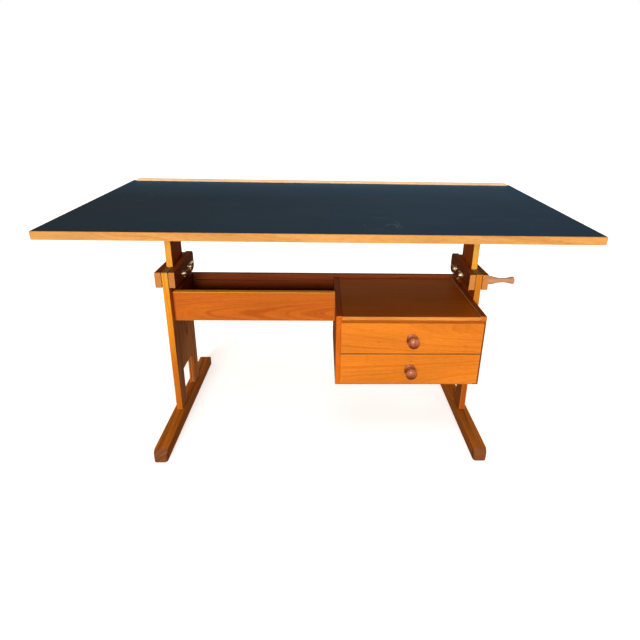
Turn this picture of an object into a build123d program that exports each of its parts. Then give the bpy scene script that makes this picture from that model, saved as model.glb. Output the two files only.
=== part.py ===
from build123d import *
import os
from math import cos, radians, sin

os.makedirs("parts", exist_ok=True)

# Drafting table: two trestle legs, each a foot with two posts, a board that slides up between the
# posts and is gripped by two cheeks, a hanging tray and drawer cabinet, and a tilting work top.
# Frame: X to the right, Y to the back, Z up, origin on the floor under the middle of the top.

# ---- Driving dimensions, in millimetres and degrees ----

# Work top
TOP_WIDTH = 1500.0
TOP_DEPTH = 652.0
TOP_THICKNESS = 22.0
TOP_HEIGHT = 776.5          # middle of the work surface
REST_TILT = 3.0             # rear edge higher than the front edge
LAMINATE = 1.2
BAND = 4.0                  # thickness of the solid edge bands
BAND_CORNER = 3.0
STOP_HEIGHT = 8.0
STOP_DEPTH = 14.0
STOP_INSET = 14.0           # from each end of the top
STOP_BEVEL = 5.5

# Legs
LEG_X = 509.0               # middle of each leg from the middle of the table
BOARD = 20.0                # thickness of posts, columns and outer cheeks
FOOT_WIDTH = 42.0
FOOT_HEIGHT = 42.0
FOOT_FRONT = -306.0
FOOT_BACK = 262.0
FOOT_BEVEL = 16.0
FOOT_CORNER = 9.0
GLIDE_HEIGHT = 2.5
GLIDE_RADIUS = 11.0
GLIDE_INSET = 30.0
POST_FRONT = -103.0
POST_DEPTH = 54.5
POST_TOP = 566.0
TENON_THICKNESS = 12.0
TENON_INSET = 7.0
TENON_LENGTH = 25.0
GROOVE_WIDTH = 6.0          # guide groove in each post's edge that faces the column
GUIDE_GROOVE = 5.0          # its depth

# Sliding columns
COLUMN_DEPTH = 105.0
COLUMN_PLAY = 0.5           # to the posts, front and back
COLUMN_INSET = 0.4          # inner face behind the inner face of the posts
COLUMN_BOTTOM = 175.0
TONGUE_PLAY = 0.5           # tongue to each side of its groove
LIFT_DOWN = 20.0
LIFT_UP = 160.0
SLOT_WIDTH = 9.0

# Cheeks
CHEEK_FRONT = -105.5
CHEEK_BACK = 105.0
CHEEK_BOTTOM = 514.0
INNER_CHEEK = 19.0          # thickness
INNER_GAP = 3.0             # inner cheek to post
OUTER_GAP = 0.9             # outer cheek to post
LOBE_RISE = 11.0
LOBE_DROP = 8.0
LOBE_RADIUS = 18.0

# Fasteners
BOLT_RADIUS = 4.0
BOLT_Z = 537.0
BOLT_SPACING = 67.0
THREAD_PLAY = 0.05
TURN_GAP = 0.3              # face clearance under what turns
WASHER_RADIUS = 10.0
WASHER = 1.6
ROD_RADIUS = 5.0
HANDLE_LENGTH = 94.5
ROD_Z = 537.5
DOWEL_RADIUS = 4.0
DOWEL_DEPTH = 10.0
DOWEL_SPREAD = 13.0
SCREW_LENGTH = 32.0

# Tilt hinge
PIVOT_HEIGHT = 705.0
HEAD_RADIUS = 46.0          # rounded head of the column about the pivot
MAX_TILT = 43.0             # work top above level at the upper limit
TILT_BOLT_DROP = 38.0       # clamping bolt below the pivot
QUADRANT = 2.5              # plate thickness
QUADRANT_RADIUS = 46.0
QUADRANT_GAP = 0.9          # plate to column
BATTEN_WIDTH = 26.0
BATTEN_HEIGHT = 32.0
BATTEN_LENGTH = 400.0

# Tray and cabinet
CARCASS_X = 498.7           # outer faces that lie along the legs
PANEL = 18.0
TRAY_END = 16.0
TRAY_FRONT = -78.0
TRAY_BOTTOM_Z = 384.0
TRAY_TOP_Z = 488.0
TRAY_FLOOR = 9.0
RAIL_BACK = 112.0
CABINET_LEFT = 39.0
CABINET_FRONT = -230.0
CABINET_BOTTOM_Z = 237.5
CABINET_SIDE_TOP = 479.0
CABINET_TOP_Z = 476.0
CABINET_TOP = 12.0
CABINET_FLOOR = 12.0
BACK_PANEL = 6.0

# Drawers
DRAWER_FACE = -252.0        # front faces stand proud of the carcass
DRAWER_FRONT = 20.0
DRAWER_HEIGHT = 103.5
DRAWER_GAP = 2.0            # between the two fronts
LOWER_DRAWER_Z = 257.0
FRONT_OVERLAP = 3.0         # of each front over the front edges of the carcass sides
DRAWER_SIDE_GAP = 3.0
DRAWER_SIDE = 12.0
DRAWER_BOX_LENGTH = 290.0
DRAWER_BOX_HEIGHT = 84.0
DRAWER_BOX_RISE = 8.0       # underside of the box above the underside of its front
DRAWER_FLOOR = 5.0
DRAWER_FLOOR_RISE = 8.0
FLOOR_GROOVE = 5.0
RUNNER_HEIGHT = 13.0
RUNNER_DEPTH = 9.0
RUNNER_RISE = 44.0          # middle of the runner above the underside of the box
RUNNER_PLAY = 0.5
GROOVE_DEPTH = 7.0
KNOB_LENGTH = 38.0
KNOB_RADIUS = 17.7
KNOB_TENON_RADIUS = 5.0

# ---- Places worked out from the driving dimensions ----

TILT = radians(REST_TILT)
TOP = Plane(
    origin=(0, -TOP_THICKNESS * sin(TILT) / 2, TOP_HEIGHT),
    x_dir=(1, 0, 0),
    z_dir=(0, -sin(TILT), cos(TILT)),
)
POST_INNER = LEG_X - BOARD / 2
POST_OUTER = LEG_X + BOARD / 2
POST_BACK = POST_FRONT + POST_DEPTH
COLUMN_FRONT = POST_BACK + COLUMN_PLAY
COLUMN_BACK = COLUMN_FRONT + COLUMN_DEPTH
COLUMN_Y = (COLUMN_FRONT + COLUMN_BACK) / 2
COLUMN_INNER = POST_INNER + COLUMN_INSET
COLUMN_OUTER = COLUMN_INNER + BOARD
TONGUE_X = (COLUMN_INNER + COLUMN_OUTER) / 2
REAR_POST_FRONT = COLUMN_BACK + COLUMN_PLAY
REAR_POST_BACK = REAR_POST_FRONT + POST_DEPTH
FRONT_POST_Y = (POST_FRONT + POST_BACK) / 2
REAR_POST_Y = (REAR_POST_FRONT + REAR_POST_BACK) / 2
INNER_CHEEK_FACE = POST_INNER - INNER_GAP
INNER_CHEEK_BACK = INNER_CHEEK_FACE - INNER_CHEEK
OUTER_CHEEK_FACE = POST_OUTER + OUTER_GAP
OUTER_CHEEK_BACK = OUTER_CHEEK_FACE + BOARD
BOLT_YS = (COLUMN_Y - BOLT_SPACING / 2, COLUMN_Y + BOLT_SPACING / 2)
NUT_BASE = INNER_CHEEK_BACK - WASHER - TURN_GAP
PIVOT = (0, COLUMN_Y, PIVOT_HEIGHT)
PIVOT_LOCAL = TOP.to_local_coords(Vector(*PIVOT))
QUADRANT_OUTER = COLUMN_INNER - QUADRANT_GAP
QUADRANT_INNER = QUADRANT_OUTER - QUADRANT
TILT_NUT_BASE = QUADRANT_INNER - TURN_GAP
RAIL_FRONT = RAIL_BACK - PANEL
CABINET_INNER_LEFT = CABINET_LEFT + PANEL
CABINET_INNER_RIGHT = CARCASS_X - PANEL
DRAWER_X = (CABINET_INNER_LEFT + CABINET_INNER_RIGHT) / 2
DRAWER_BACK = DRAWER_FACE + DRAWER_FRONT
UPPER_DRAWER_Z = LOWER_DRAWER_Z + DRAWER_HEIGHT + DRAWER_GAP


# ---- Helpers ----

def save(piece, name):
    """Name a finished piece and write it to its file."""
    piece.part.label = name
    export_step(piece.part, f"parts/{name}.step")


def box_between(low, high, mode=Mode.ADD):
    """Box between two opposite corners, in the part being built."""
    middle = tuple((a + b) / 2 for a, b in zip(low, high))
    with Locations(middle):
        Box(*(b - a for a, b in zip(low, high)), mode=mode)


def board(low, high, cuts=()):
    """Rectangular board between two corners, with fasteners or neighbours cut out of it."""
    with BuildPart() as piece:
        box_between(low, high)
        for cut in cuts:
            add(cut.part, mode=Mode.SUBTRACT)
    return piece


def tilted_board(x, y, z, cuts=()):
    """Board that lies along the work top: limits are along the top's width, depth and normal."""
    with BuildPart() as piece:
        with BuildSketch(TOP.offset(z[0])):
            with Locations(((x[0] + x[1]) / 2, (y[0] + y[1]) / 2)):
                Rectangle(x[1] - x[0], y[1] - y[0])
        extrude(amount=z[1] - z[0])
        for cut in cuts:
            add(cut.part, mode=Mode.SUBTRACT)
    return piece


def turned_plane(origin, direction):
    """Plane through an axis: local x runs along the axis and local y is the radius."""
    along = Vector(*direction)
    across = Vector(0, 0, 1) if abs(along.Z) < 0.5 else Vector(1, 0, 0)
    return Plane(origin=origin, x_dir=along, z_dir=along.cross(across))


def turned(origin, direction, profile, mode=Mode.ADD):
    """Solid of revolution from (distance along the axis, radius) points."""
    with BuildSketch(turned_plane(origin, direction)) as section:
        with BuildLine():
            Polyline(*profile, close=True)
        make_face()
    revolve(section.sketch, axis=Axis(origin, direction), mode=mode)


def ring(origin, direction, bore, radius, thickness):
    """Washer or plain collar with a bore."""
    turned(origin, direction, [(0, bore), (thickness, bore), (thickness, radius), (0, radius)])


def rod(origin, direction, radius, length, mode=Mode.ADD):
    """Plain round bar."""
    turned(origin, direction, [(0, 0), (length, 0), (length, radius), (0, radius)], mode)


def dome_bolt(head, direction, length):
    """Bolt with a low domed head, whose shank starts at the given point."""
    dome_radius, dome_height = 9.5, 4.5
    with BuildSketch(turned_plane(head, direction)) as section:
        with BuildLine():
            Polyline((-dome_height, 2), (-dome_height, 0), (length, 0), (length, BOLT_RADIUS))
            Polyline((length, BOLT_RADIUS), (0, BOLT_RADIUS), (0, dome_radius))
            ThreePointArc((0, dome_radius), (-3.1, 6.6), (-dome_height, 2))
        make_face()
    revolve(section.sketch, axis=Axis(head, direction))


def wood_screw(head, direction, length):
    """Countersunk wood screw, its head flush with the given point."""
    turned(head, direction, [(0, 0), (length, 0), (length - 4, 2), (2.6, 2), (0, 4.2)])


def wing_nut(base, turn):
    """Wing nut that grows towards -X from its base point, its wings turned about the bolt."""
    angle = radians(turn)
    plane = Plane(origin=base, x_dir=(-1, 0, 0), z_dir=(0, sin(angle), -cos(angle)))
    bore = BOLT_RADIUS + THREAD_PLAY
    wing = [(1, 6), (2, 11), (5.6, 17.4), (10.4, 20), (14, 18.8), (15, 15), (11.8, 11.4), (9, 6)]
    with BuildPart() as nut:
        with BuildSketch(plane):
            with BuildLine():
                Polyline((0, bore), (0, 8), (2.5, 8), (8.8, 6.2), (8.8, bore), close=True)
            make_face()
        revolve(axis=Axis(base, (-1, 0, 0)))
        with BuildSketch(plane):
            with BuildLine():
                Spline(*wing)
                Line(wing[-1], wing[0])
            make_face()
            mirror(about=Plane.XZ)
        extrude(amount=1.4, both=True)
    return nut


def mirrored(piece):
    """The left-hand twin of a right-hand piece."""
    with BuildPart() as twin:
        mirror(piece.part, about=Plane.YZ)
    return twin


# ---- Fasteners of the legs ----

with BuildPart() as carriage_bolts:
    for bolt_y in BOLT_YS:
        dome_bolt((OUTER_CHEEK_BACK, bolt_y, BOLT_Z), (-1, 0, 0), OUTER_CHEEK_BACK - NUT_BASE + 11)
    mirror(about=Plane.YZ)
save(carriage_bolts, "carriage_bolts")

with BuildPart() as clamp_washers:
    for bolt_y in BOLT_YS:
        ring((INNER_CHEEK_BACK - WASHER, bolt_y, BOLT_Z), (1, 0, 0), BOLT_RADIUS, WASHER_RADIUS, WASHER)
    mirror(about=Plane.YZ)
    ring((OUTER_CHEEK_BACK, FRONT_POST_Y, ROD_Z), (1, 0, 0), ROD_RADIUS + TURN_GAP, 12, WASHER)
save(clamp_washers, "clamp_washers")

with BuildPart() as cheek_dowels:
    dowel_low = INNER_CHEEK_FACE - DOWEL_DEPTH
    dowel_length = OUTER_CHEEK_FACE + DOWEL_DEPTH - dowel_low
    cheek_z = (CHEEK_BOTTOM + POST_TOP) / 2
    for dowel_z in (cheek_z - DOWEL_SPREAD, cheek_z + DOWEL_SPREAD):
        rod((dowel_low, REAR_POST_Y, dowel_z), (1, 0, 0), DOWEL_RADIUS, dowel_length)
        rod((-dowel_low, REAR_POST_Y, dowel_z), (-1, 0, 0), DOWEL_RADIUS, dowel_length)
        rod((-dowel_low, FRONT_POST_Y, dowel_z), (-1, 0, 0), DOWEL_RADIUS, dowel_length)
save(cheek_dowels, "cheek_dowels")

# Screws that hold the tray and the cabinet to the posts and to the back rail
with BuildPart() as carcass_screws:
    tray_screw_x = TRAY_END - CARCASS_X
    for screw_y in (POST_BACK - 7.2, REAR_POST_Y - 8):
        for screw_z in (TRAY_BOTTOM_Z + 26, TRAY_TOP_Z - 20):
            wood_screw((tray_screw_x, screw_y, screw_z), (-1, 0, 0), SCREW_LENGTH)
            wood_screw((CABINET_INNER_RIGHT, screw_y, screw_z), (1, 0, 0), SCREW_LENGTH)
    for panel_x in (TRAY_END / 2 - CARCASS_X, CABINET_LEFT + PANEL / 2, CARCASS_X - PANEL / 2):
        for screw_z in (TRAY_BOTTOM_Z + 22, TRAY_TOP_Z - 26):
            wood_screw((panel_x, RAIL_BACK, screw_z), (0, -1, 0), PANEL + 20)
save(carcass_screws, "carcass_screws")

# Screw clamp of the right-hand leg: threaded rod, tee nut in the inner cheek, turned handle
with BuildPart() as clamp_tee_nut:
    turned(
        (INNER_CHEEK_FACE, FRONT_POST_Y, ROD_Z),
        (1, 0, 0),
        [
            (-12, ROD_RADIUS + THREAD_PLAY),
            (1.5, ROD_RADIUS + THREAD_PLAY),
            (1.5, 11),
            (0, 11),
            (0, 6.5),
            (-12, 6.5),
        ],
    )
save(clamp_tee_nut, "clamp_tee_nut")

with BuildPart() as clamp_rod:
    rod_start = INNER_CHEEK_FACE - 13
    rod((rod_start, FRONT_POST_Y, ROD_Z), (1, 0, 0), ROD_RADIUS, OUTER_CHEEK_BACK + 30 - rod_start)
save(clamp_rod, "clamp_rod")

with BuildPart() as rod_clearance:
    rod((rod_start - 1, FRONT_POST_Y, ROD_Z), (1, 0, 0), ROD_RADIUS + TURN_GAP, 200)

with BuildPart() as clamp_handle:
    handle_start = OUTER_CHEEK_BACK + WASHER + TURN_GAP
    handle_origin = (handle_start, FRONT_POST_Y, ROD_Z)
    with BuildSketch(turned_plane(handle_origin, (1, 0, 0))):
        with BuildLine():
            Polyline((0, 0), (0, 12), (1.5, 13.2), (22, 13.6), (24, 12.6))
            Spline((24, 12.6), (36, 9.6), (50, 7.9), (64, 7.7), (78, 9.8), (89, 12.6), tangents=((1, -0.35), (1, 0.3)))
            ThreePointArc((89, 12.6), (93.2, 11.4), (HANDLE_LENGTH, 8))
            Polyline((HANDLE_LENGTH, 8), (HANDLE_LENGTH, 0), (0, 0))
        make_face()
    revolve(axis=Axis(handle_origin, (1, 0, 0)))
    add(clamp_rod.part, mode=Mode.SUBTRACT)
save(clamp_handle, "clamp_handle")

# Wing nuts on the inner faces: side, place along the cheek and the angle at which each was left
WING_TURNS = {"left_front": 20.0, "left_rear": 58.0, "right_front": 110.0, "right_rear": 35.0}
for place, wing_turn in WING_TURNS.items():
    nut_y = BOLT_YS[0] if place.endswith("front") else BOLT_YS[1]
    nut = wing_nut((NUT_BASE, nut_y, BOLT_Z), wing_turn)
    if place.startswith("left"):
        nut = mirrored(nut)
    save(nut, f"wing_nut_{place}")

# ---- Legs ----


def make_post(y_front, groove_front, cuts):
    """Post of the right-hand leg: a tenon that stands in the foot, a guide groove towards the column."""
    with BuildPart() as piece:
        box_between((POST_INNER, y_front, FOOT_HEIGHT), (POST_OUTER, y_front + POST_DEPTH, POST_TOP))
        box_between(
            (LEG_X - TENON_THICKNESS / 2, y_front + TENON_INSET, FOOT_HEIGHT - TENON_LENGTH),
            (LEG_X + TENON_THICKNESS / 2, y_front + POST_DEPTH - TENON_INSET, FOOT_HEIGHT),
        )
        box_between(
            (TONGUE_X - GROOVE_WIDTH / 2, groove_front, FOOT_HEIGHT),
            (TONGUE_X + GROOVE_WIDTH / 2, groove_front + GUIDE_GROOVE, POST_TOP),
            mode=Mode.SUBTRACT,
        )
        for cut in cuts:
            add(cut.part, mode=Mode.SUBTRACT)
    return piece


FRONT_GROOVE = POST_BACK - GUIDE_GROOVE
front_post_right = make_post(POST_FRONT, FRONT_GROOVE, [rod_clearance, carcass_screws])
rear_post_right = make_post(REAR_POST_FRONT, REAR_POST_FRONT, [cheek_dowels, carcass_screws])
with BuildPart() as front_post_left:
    add(mirrored(make_post(POST_FRONT, FRONT_GROOVE, [])).part)
    add(cheek_dowels.part, mode=Mode.SUBTRACT)
    add(carcass_screws.part, mode=Mode.SUBTRACT)
with BuildPart() as rear_post_left:
    add(mirrored(make_post(REAR_POST_FRONT, REAR_POST_FRONT, [])).part)
    add(cheek_dowels.part, mode=Mode.SUBTRACT)
    add(carcass_screws.part, mode=Mode.SUBTRACT)
save(front_post_right, "front_post_right")
save(rear_post_right, "rear_post_right")
save(rear_post_left, "rear_post_left")
save(front_post_left, "front_post_left")

with BuildPart() as foot_right:
    with BuildSketch(Plane.YZ.offset(LEG_X - FOOT_WIDTH / 2)):
        with BuildLine():
            Polyline(
                (FOOT_FRONT, GLIDE_HEIGHT),
                (FOOT_FRONT, FOOT_HEIGHT - FOOT_BEVEL),
                (FOOT_FRONT + FOOT_BEVEL, FOOT_HEIGHT),
                (FOOT_BACK - FOOT_BEVEL, FOOT_HEIGHT),
                (FOOT_BACK, FOOT_HEIGHT - FOOT_BEVEL),
                (FOOT_BACK, GLIDE_HEIGHT),
                close=True,
            )
        make_face()
    extrude(amount=FOOT_WIDTH)
    fillet(foot_right.edges().filter_by(Axis.Z), FOOT_CORNER)
    add(front_post_right.part, mode=Mode.SUBTRACT)
    add(rear_post_right.part, mode=Mode.SUBTRACT)
foot_left = mirrored(foot_right)
save(foot_right, "foot_right")
save(foot_left, "foot_left")

with BuildPart() as foot_glides:
    for glide_y in (FOOT_FRONT + GLIDE_INSET, FOOT_BACK - GLIDE_INSET):
        turned(
            (LEG_X, glide_y, 0),
            (0, 0, 1),
            [(0, 0), (0, GLIDE_RADIUS - 1), (1, GLIDE_RADIUS), (GLIDE_HEIGHT, GLIDE_RADIUS), (GLIDE_HEIGHT, 0)],
        )
    mirror(about=Plane.YZ)
save(foot_glides, "foot_glides")

# ---- Cheeks and the liners between cheeks and posts ----

outer_cheek_right = board(
    (OUTER_CHEEK_FACE, CHEEK_FRONT, CHEEK_BOTTOM),
    (OUTER_CHEEK_BACK, CHEEK_BACK, POST_TOP),
    [carriage_bolts, cheek_dowels, rod_clearance],
)
outer_cheek_left = board(
    (-OUTER_CHEEK_BACK, CHEEK_FRONT, CHEEK_BOTTOM),
    (-OUTER_CHEEK_FACE, CHEEK_BACK, POST_TOP),
    [carriage_bolts, cheek_dowels],
)
save(outer_cheek_right, "outer_cheek_right")
save(outer_cheek_left, "outer_cheek_left")


def make_inner_cheek(cuts):
    """Inner cheek of the right-hand leg: straight in front, with a taller rounded lobe behind."""
    lobe_top = POST_TOP + LOBE_RISE
    lobe_bottom = CHEEK_BOTTOM - LOBE_DROP
    rise_start, rise_end = CHEEK_FRONT + 36, COLUMN_Y + 54
    drop_start, drop_end = COLUMN_Y - 12, COLUMN_Y + 42
    with BuildPart() as piece:
        with BuildSketch(Plane.YZ.offset(INNER_CHEEK_BACK)):
            with BuildLine():
                Polyline((drop_start, CHEEK_BOTTOM), (CHEEK_FRONT, CHEEK_BOTTOM), (CHEEK_FRONT, POST_TOP))
                Line((CHEEK_FRONT, POST_TOP), (rise_start, POST_TOP))
                Spline((rise_start, POST_TOP), (rise_end, lobe_top), tangents=((1, 0), (1, 0)))
                FilletPolyline(
                    (rise_end, lobe_top),
                    (CHEEK_BACK, lobe_top),
                    (CHEEK_BACK, lobe_bottom),
                    (drop_end, lobe_bottom),
                    radius=LOBE_RADIUS,
                )
                Spline((drop_end, lobe_bottom), (drop_start, CHEEK_BOTTOM), tangents=((-1, 0), (-1, 0)))
            make_face()
        extrude(amount=INNER_CHEEK)
        for cut in cuts:
            add(cut.part, mode=Mode.SUBTRACT)
    return piece


inner_cheek_right = make_inner_cheek([carriage_bolts, cheek_dowels, clamp_tee_nut, rod_clearance])
with BuildPart() as inner_cheek_left:
    add(mirrored(make_inner_cheek([])).part)
    add(carriage_bolts.part, mode=Mode.SUBTRACT)
    add(cheek_dowels.part, mode=Mode.SUBTRACT)
save(inner_cheek_right, "inner_cheek_right")
save(inner_cheek_left, "inner_cheek_left")

LINER_EDGE = 2.0
with BuildPart() as cheek_liners:
    liner_bottom = CHEEK_BOTTOM + LINER_EDGE
    liner_top = POST_TOP - LINER_EDGE
    front_spans = (POST_FRONT + 8, POST_BACK)
    rear_spans = (REAR_POST_FRONT, CHEEK_BACK - 8)
    for span in (front_spans, (COLUMN_FRONT + LINER_EDGE, COLUMN_BACK - LINER_EDGE), rear_spans):
        box_between((INNER_CHEEK_FACE, span[0], liner_bottom), (POST_INNER, span[1], liner_top))
    for span in (front_spans, rear_spans):
        box_between((POST_OUTER, span[0], liner_bottom), (OUTER_CHEEK_FACE, span[1], liner_top))
    mirror(about=Plane.YZ)
    rod((INNER_CHEEK_FACE, FRONT_POST_Y, ROD_Z), (1, 0, 0), 12, BOARD + 10, mode=Mode.SUBTRACT)
    add(carriage_bolts.part, mode=Mode.SUBTRACT)
    add(cheek_dowels.part, mode=Mode.SUBTRACT)
save(cheek_liners, "cheek_liners")

# ---- Sliding columns with the bolts of the tilt hinge ----

TILT_BOLT = (0, COLUMN_Y, PIVOT_HEIGHT - TILT_BOLT_DROP)
with BuildPart() as tilt_bolts:
    for bolt_z in (PIVOT[2], TILT_BOLT[2]):
        dome_bolt((COLUMN_OUTER, COLUMN_Y, bolt_z), (-1, 0, 0), COLUMN_OUTER - TILT_NUT_BASE + 13)
    mirror(about=Plane.YZ)
save(tilt_bolts, "tilt_bolts")

with BuildPart() as pivot_nuts:
    with BuildSketch(Plane.YZ.offset(TILT_NUT_BASE - 7)):
        with Locations((COLUMN_Y, PIVOT_HEIGHT)):
            RegularPolygon(radius=7.5, side_count=6)
    extrude(amount=7)
    mirror(about=Plane.YZ)
    add(tilt_bolts.part, mode=Mode.SUBTRACT)
save(pivot_nuts, "pivot_nuts")

for side_name in ("left", "right"):
    nut = wing_nut((TILT_NUT_BASE, COLUMN_Y, TILT_BOLT[2]), 80.0)
    if side_name == "left":
        nut = mirrored(nut)
    save(nut, f"tilt_nut_{side_name}")

# Loose tongues, glued in the column's edges, that run in the guide grooves of the posts
with BuildPart() as column_tongues:
    tongue_half = GROOVE_WIDTH / 2 - TONGUE_PLAY
    tongue_top = POST_TOP - LIFT_UP - 6
    for edge_y, outward in ((COLUMN_FRONT, -1), (COLUMN_BACK, 1)):
        tongue_y = sorted((edge_y - outward * GUIDE_GROOVE, edge_y + outward * (GUIDE_GROOVE - 2 * COLUMN_PLAY)))
        box_between(
            (TONGUE_X - tongue_half, tongue_y[0], COLUMN_BOTTOM),
            (TONGUE_X + tongue_half, tongue_y[1], tongue_top),
        )
    mirror(about=Plane.YZ)

with BuildPart() as column_right:
    snipe = radians(MAX_TILT)
    snipe_y = COLUMN_Y - HEAD_RADIUS * sin(snipe)
    snipe_z = PIVOT_HEIGHT + HEAD_RADIUS * cos(snipe)
    front_z = snipe_z - (snipe_y - COLUMN_FRONT) * sin(snipe) / cos(snipe)
    with BuildSketch(Plane.YZ.offset(COLUMN_INNER)):
        with BuildLine():
            Polyline(
                (COLUMN_Y, PIVOT_HEIGHT + HEAD_RADIUS),
                (COLUMN_BACK, PIVOT_HEIGHT + HEAD_RADIUS),
                (COLUMN_BACK, COLUMN_BOTTOM),
                (COLUMN_FRONT, COLUMN_BOTTOM),
                (COLUMN_FRONT, front_z),
                (snipe_y, snipe_z),
            )
            RadiusArc((snipe_y, snipe_z), (COLUMN_Y, PIVOT_HEIGHT + HEAD_RADIUS), HEAD_RADIUS)
        make_face()
        slot_length = LIFT_UP + LIFT_DOWN + SLOT_WIDTH
        slot_z = BOLT_Z + (LIFT_DOWN - LIFT_UP) / 2
        with Locations(*[Location((bolt_y, slot_z), 90) for bolt_y in BOLT_YS]):
            SlotOverall(slot_length, SLOT_WIDTH, mode=Mode.SUBTRACT)
    extrude(amount=BOARD)
    add(tilt_bolts.part, mode=Mode.SUBTRACT)
    add(column_tongues.part, mode=Mode.SUBTRACT)
column_left = mirrored(column_right)
save(column_right, "column_right")
save(column_left, "column_left")
save(column_tongues, "column_tongues")

# ---- Work top, on its tilted plane. The stop strip lies in a shallow rebate of laminate and band ----

HALF_WIDTH = TOP_WIDTH / 2
HALF_DEPTH = TOP_DEPTH / 2
CORE_X = (BAND - HALF_WIDTH, HALF_WIDTH - BAND)
CORE_Y = (BAND - HALF_DEPTH, HALF_DEPTH - BAND)
BATTEN_X = (QUADRANT_INNER - BATTEN_WIDTH, QUADRANT_INNER)
BATTEN_Z = (-TOP_THICKNESS - BATTEN_HEIGHT, -TOP_THICKNESS)

with BuildPart() as top_screws:
    for screw_y in (-150.0, -55.0, 55.0, 150.0):
        screw_head = TOP.from_local_coords(Vector(sum(BATTEN_X) / 2, screw_y, BATTEN_Z[0]))
        wood_screw(tuple(screw_head), tuple(TOP.z_dir), BATTEN_HEIGHT + 14)
    for screw_y in (-32.0, 32.0):
        plate_head = Vector(QUADRANT_OUTER, PIVOT_LOCAL.Y + screw_y, BATTEN_Z[0] + 20)
        wood_screw(tuple(TOP.from_local_coords(plate_head)), (-1, 0, 0), 20)
    mirror(about=Plane.YZ)
save(top_screws, "top_screws")

with BuildPart() as stop_strip:
    strip_half = HALF_WIDTH - STOP_INSET
    with BuildSketch(TOP.offset(-LAMINATE)):
        with Locations((0, HALF_DEPTH - STOP_DEPTH / 2)):
            Rectangle(2 * strip_half, STOP_DEPTH)
    extrude(amount=LAMINATE + STOP_HEIGHT)
    strip_ends = stop_strip.faces().filter_by(Axis.X)
    chamfer(strip_ends.edges().filter_by(Axis.Y, tolerance=5).group_by(Axis.Z)[-1], STOP_BEVEL)
save(stop_strip, "stop_strip")

save(tilted_board(CORE_X, CORE_Y, (-TOP_THICKNESS, -LAMINATE), [top_screws]), "top_core")
save(tilted_board((-HALF_WIDTH, HALF_WIDTH), CORE_Y, (-LAMINATE, 0), [stop_strip]), "top_laminate")


def long_band(y_edge, inward):
    """Edge band along the full width of the top, its outer upright corners rounded."""
    limits = sorted((y_edge, y_edge + inward * BAND))
    with BuildPart() as piece:
        with BuildSketch(TOP.offset(-TOP_THICKNESS)):
            with Locations((0, sum(limits) / 2)):
                Rectangle(TOP_WIDTH, BAND)
            fillet(vertices().group_by(Axis.Y)[0 if inward > 0 else -1], BAND_CORNER)
        extrude(amount=TOP_THICKNESS)
        add(stop_strip.part, mode=Mode.SUBTRACT)
    return piece


save(long_band(-HALF_DEPTH, 1), "front_edge_band")
save(long_band(HALF_DEPTH, -1), "rear_edge_band")

with BuildPart() as side_edge_bands:
    with BuildSketch(TOP.offset(-TOP_THICKNESS)):
        with Locations((HALF_WIDTH - BAND / 2, 0), (BAND / 2 - HALF_WIDTH, 0)):
            Rectangle(BAND, TOP_DEPTH - 2 * BAND)
    extrude(amount=TOP_THICKNESS - LAMINATE)
save(side_edge_bands, "side_edge_bands")

with BuildPart() as batten_right:
    with BuildSketch(Plane(origin=(BATTEN_X[0], TOP.origin.Y, TOP.origin.Z), x_dir=TOP.y_dir, z_dir=(1, 0, 0))):
        with BuildLine():
            half_batten = BATTEN_LENGTH / 2
            Polyline(
                (-half_batten, BATTEN_Z[1]),
                (half_batten, BATTEN_Z[1]),
                (half_batten, BATTEN_Z[1] - 10),
                (half_batten - 40, BATTEN_Z[0]),
                (40 - half_batten, BATTEN_Z[0]),
                (-half_batten, BATTEN_Z[1] - 10),
                close=True,
            )
        make_face()
    extrude(amount=BATTEN_WIDTH)
    add(top_screws.part, mode=Mode.SUBTRACT)
with BuildPart() as battens:
    add(batten_right.part)
    mirror(about=Plane.YZ)
save(battens, "battens")

with BuildPart() as quadrant_right:
    plate_plane = Plane(origin=(QUADRANT_INNER, *PIVOT[1:]), x_dir=TOP.y_dir, z_dir=(1, 0, 0))
    plate_top = BATTEN_Z[1] - PIVOT_LOCAL.Z - 2
    with BuildSketch(plate_plane):
        Circle(QUADRANT_RADIUS)
        with Locations((0, plate_top / 2)):
            Rectangle(2 * QUADRANT_RADIUS, plate_top)
        split(bisect_by=Plane.XZ.offset(-plate_top), keep=Keep.BOTTOM)
        Circle(BOLT_RADIUS + THREAD_PLAY, mode=Mode.SUBTRACT)
        with BuildLine():
            slot_start, slot_sweep, half_slot = -91.5 - MAX_TILT, MAX_TILT + 3, SLOT_WIDTH / 2
            middle = CenterArc((0, 0), TILT_BOLT_DROP, slot_start, slot_sweep, mode=Mode.PRIVATE)
            inner = CenterArc((0, 0), TILT_BOLT_DROP - half_slot, slot_start, slot_sweep)
            outer = CenterArc((0, 0), TILT_BOLT_DROP + half_slot, slot_start, slot_sweep)
            ThreePointArc(inner @ 0, middle @ 0 - (middle % 0) * half_slot, outer @ 0)
            ThreePointArc(inner @ 1, middle @ 1 + (middle % 1) * half_slot, outer @ 1)
        make_face(mode=Mode.SUBTRACT)
    extrude(amount=QUADRANT)
    add(top_screws.part, mode=Mode.SUBTRACT)
save(quadrant_right, "tilt_quadrant_right")
save(mirrored(quadrant_right), "tilt_quadrant_left")

# ---- Tray and cabinet carcass ----

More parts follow.
